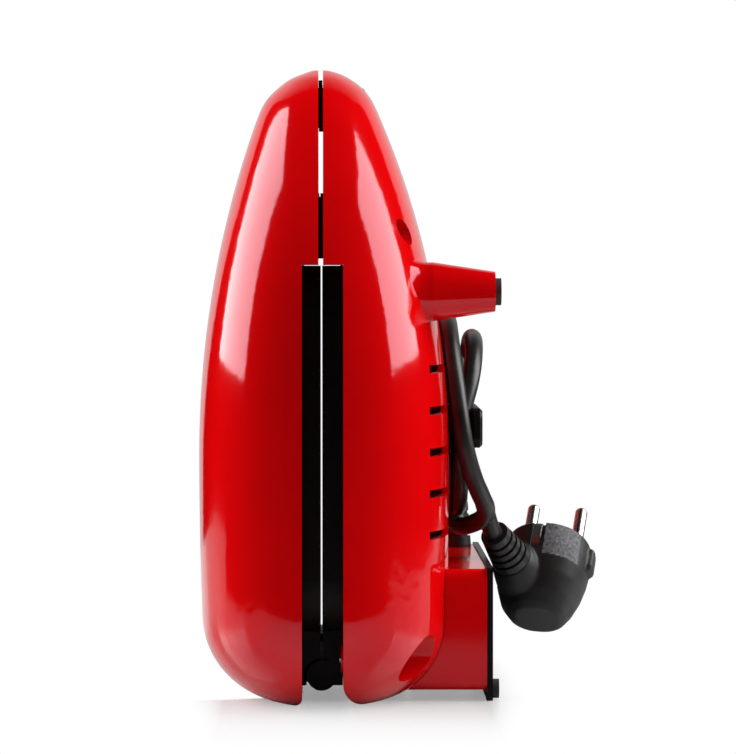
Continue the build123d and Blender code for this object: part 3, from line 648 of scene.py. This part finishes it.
def table_material():
    """A pale, softly glossy table top, clear to camera and shadow rays away from the object."""
    material = new_material(
        "table_white", (0.65, 0.65, 0.65), roughness=0.2, Specular_IOR_Level=0.9
    )
    nodes, links = material.node_tree.nodes, material.node_tree.links
    path = nodes.new("ShaderNodeLightPath").outputs
    straight = number_math(
        nodes, links, "MAXIMUM", path["Is Camera Ray"], path["Is Shadow Ray"]
    )
    clearness = table_clearness(nodes, links)
    clear = nodes.new("ShaderNodeBsdfTransparent")
    both = nodes.new("ShaderNodeMixShader")
    links.new(number_math(nodes, links, "MULTIPLY", straight, clearness), both.inputs["Fac"])
    links.new(nodes["Principled BSDF"].outputs["BSDF"], both.inputs[1])
    links.new(clear.outputs["BSDF"], both.inputs[2])
    links.new(both.outputs["Shader"], nodes["Material Output"].inputs["Surface"])
    return material


def backdrop_material():
    """A white backdrop for the camera, whose reflection fades towards its top."""
    material = bpy.data.materials.new("backdrop_white")
    material.use_nodes = True
    nodes, links = material.node_tree.nodes, material.node_tree.links
    height = separate_coordinates(nodes, links)["Z"]
    fade = map_range(
        nodes, links, height, backdrop_fade_from, backdrop_fade_to, backdrop_glow, 0.0
    )
    path = nodes.new("ShaderNodeLightPath").outputs
    strength = number_math(nodes, links, "MAXIMUM", path["Is Camera Ray"], fade)
    glow = nodes.new("ShaderNodeEmission")
    links.new(strength, glow.inputs["Strength"])
    links.new(glow.outputs["Emission"], nodes["Material Output"].inputs["Surface"])
    return material


floor = flat_sheet("floor", [(x, y, 0) for x, y in table_corners])
set_material(floor, table_material())
backdrop = flat_sheet("backdrop", [(x, backdrop_distance, z) for x, z in backdrop_corners])
set_material(backdrop, backdrop_material())

# World, lamps and camera

world_fill = 0.3


def white_world():
    """A world that is white to the camera, fills shadows, and stays dark in reflections."""
    world = bpy.data.worlds.new("studio")
    bpy.context.scene.world = world
    world.use_nodes = True
    nodes, links = world.node_tree.nodes, world.node_tree.links
    background = nodes["Background"]
    background.inputs["Color"].default_value = (1, 1, 1, 1)
    path = nodes.new("ShaderNodeLightPath").outputs
    fill = number_math(nodes, links, "MULTIPLY", path["Is Diffuse Ray"], world_fill)
    strength = number_math(nodes, links, "MAXIMUM", path["Is Camera Ray"], fill)
    links.new(strength, background.inputs["Strength"])


def softbox(name, azimuth, distance, width, low, high, power):
    """An upright rectangular lamp that faces the object; azimuth 0 is towards the camera."""
    lamp = bpy.data.lights.new(name, "AREA")
    lamp.shape = "RECTANGLE"
    lamp.size = width
    lamp.size_y = high - low
    lamp.energy = power
    box = bpy.data.objects.new(name, lamp)
    turn = math.radians(azimuth)
    middle = (low + high) / 2
    box.location = (distance * math.sin(turn), -distance * math.cos(turn), middle)
    inward = Vector((-math.sin(turn), math.cos(turn), 0))
    box.rotation_euler = inward.to_track_quat("-Z", "Y").to_euler()
    bpy.context.collection.objects.link(box)


white_world()
softbox("left_panel", azimuth=-108, distance=1.0, width=0.89, low=0.2, high=1.85, power=27)
softbox("right_panel", azimuth=92, distance=1.0, width=0.85, low=0.26, high=1.85, power=26)

camera_place = (0.0, -1500.0, 160.0)
camera_target = (18.04, 0.0, 118.5)
focal_pixels = 3866.0
photo_height = 754
camera_data = bpy.data.cameras.new("camera")
camera_data.sensor_width = 36.0
camera_data.lens = focal_pixels / photo_height * camera_data.sensor_width
camera_data.clip_start = 0.05
camera = bpy.data.objects.new("camera", camera_data)
camera.location = place(*camera_place)
camera_aim = place(*camera_target) - camera.location
camera.rotation_euler = camera_aim.to_track_quat("-Z", "Y").to_euler()
bpy.context.collection.objects.link(camera)
bpy.context.scene.camera = camera

bpy.context.scene.view_settings.view_transform = "Standard"
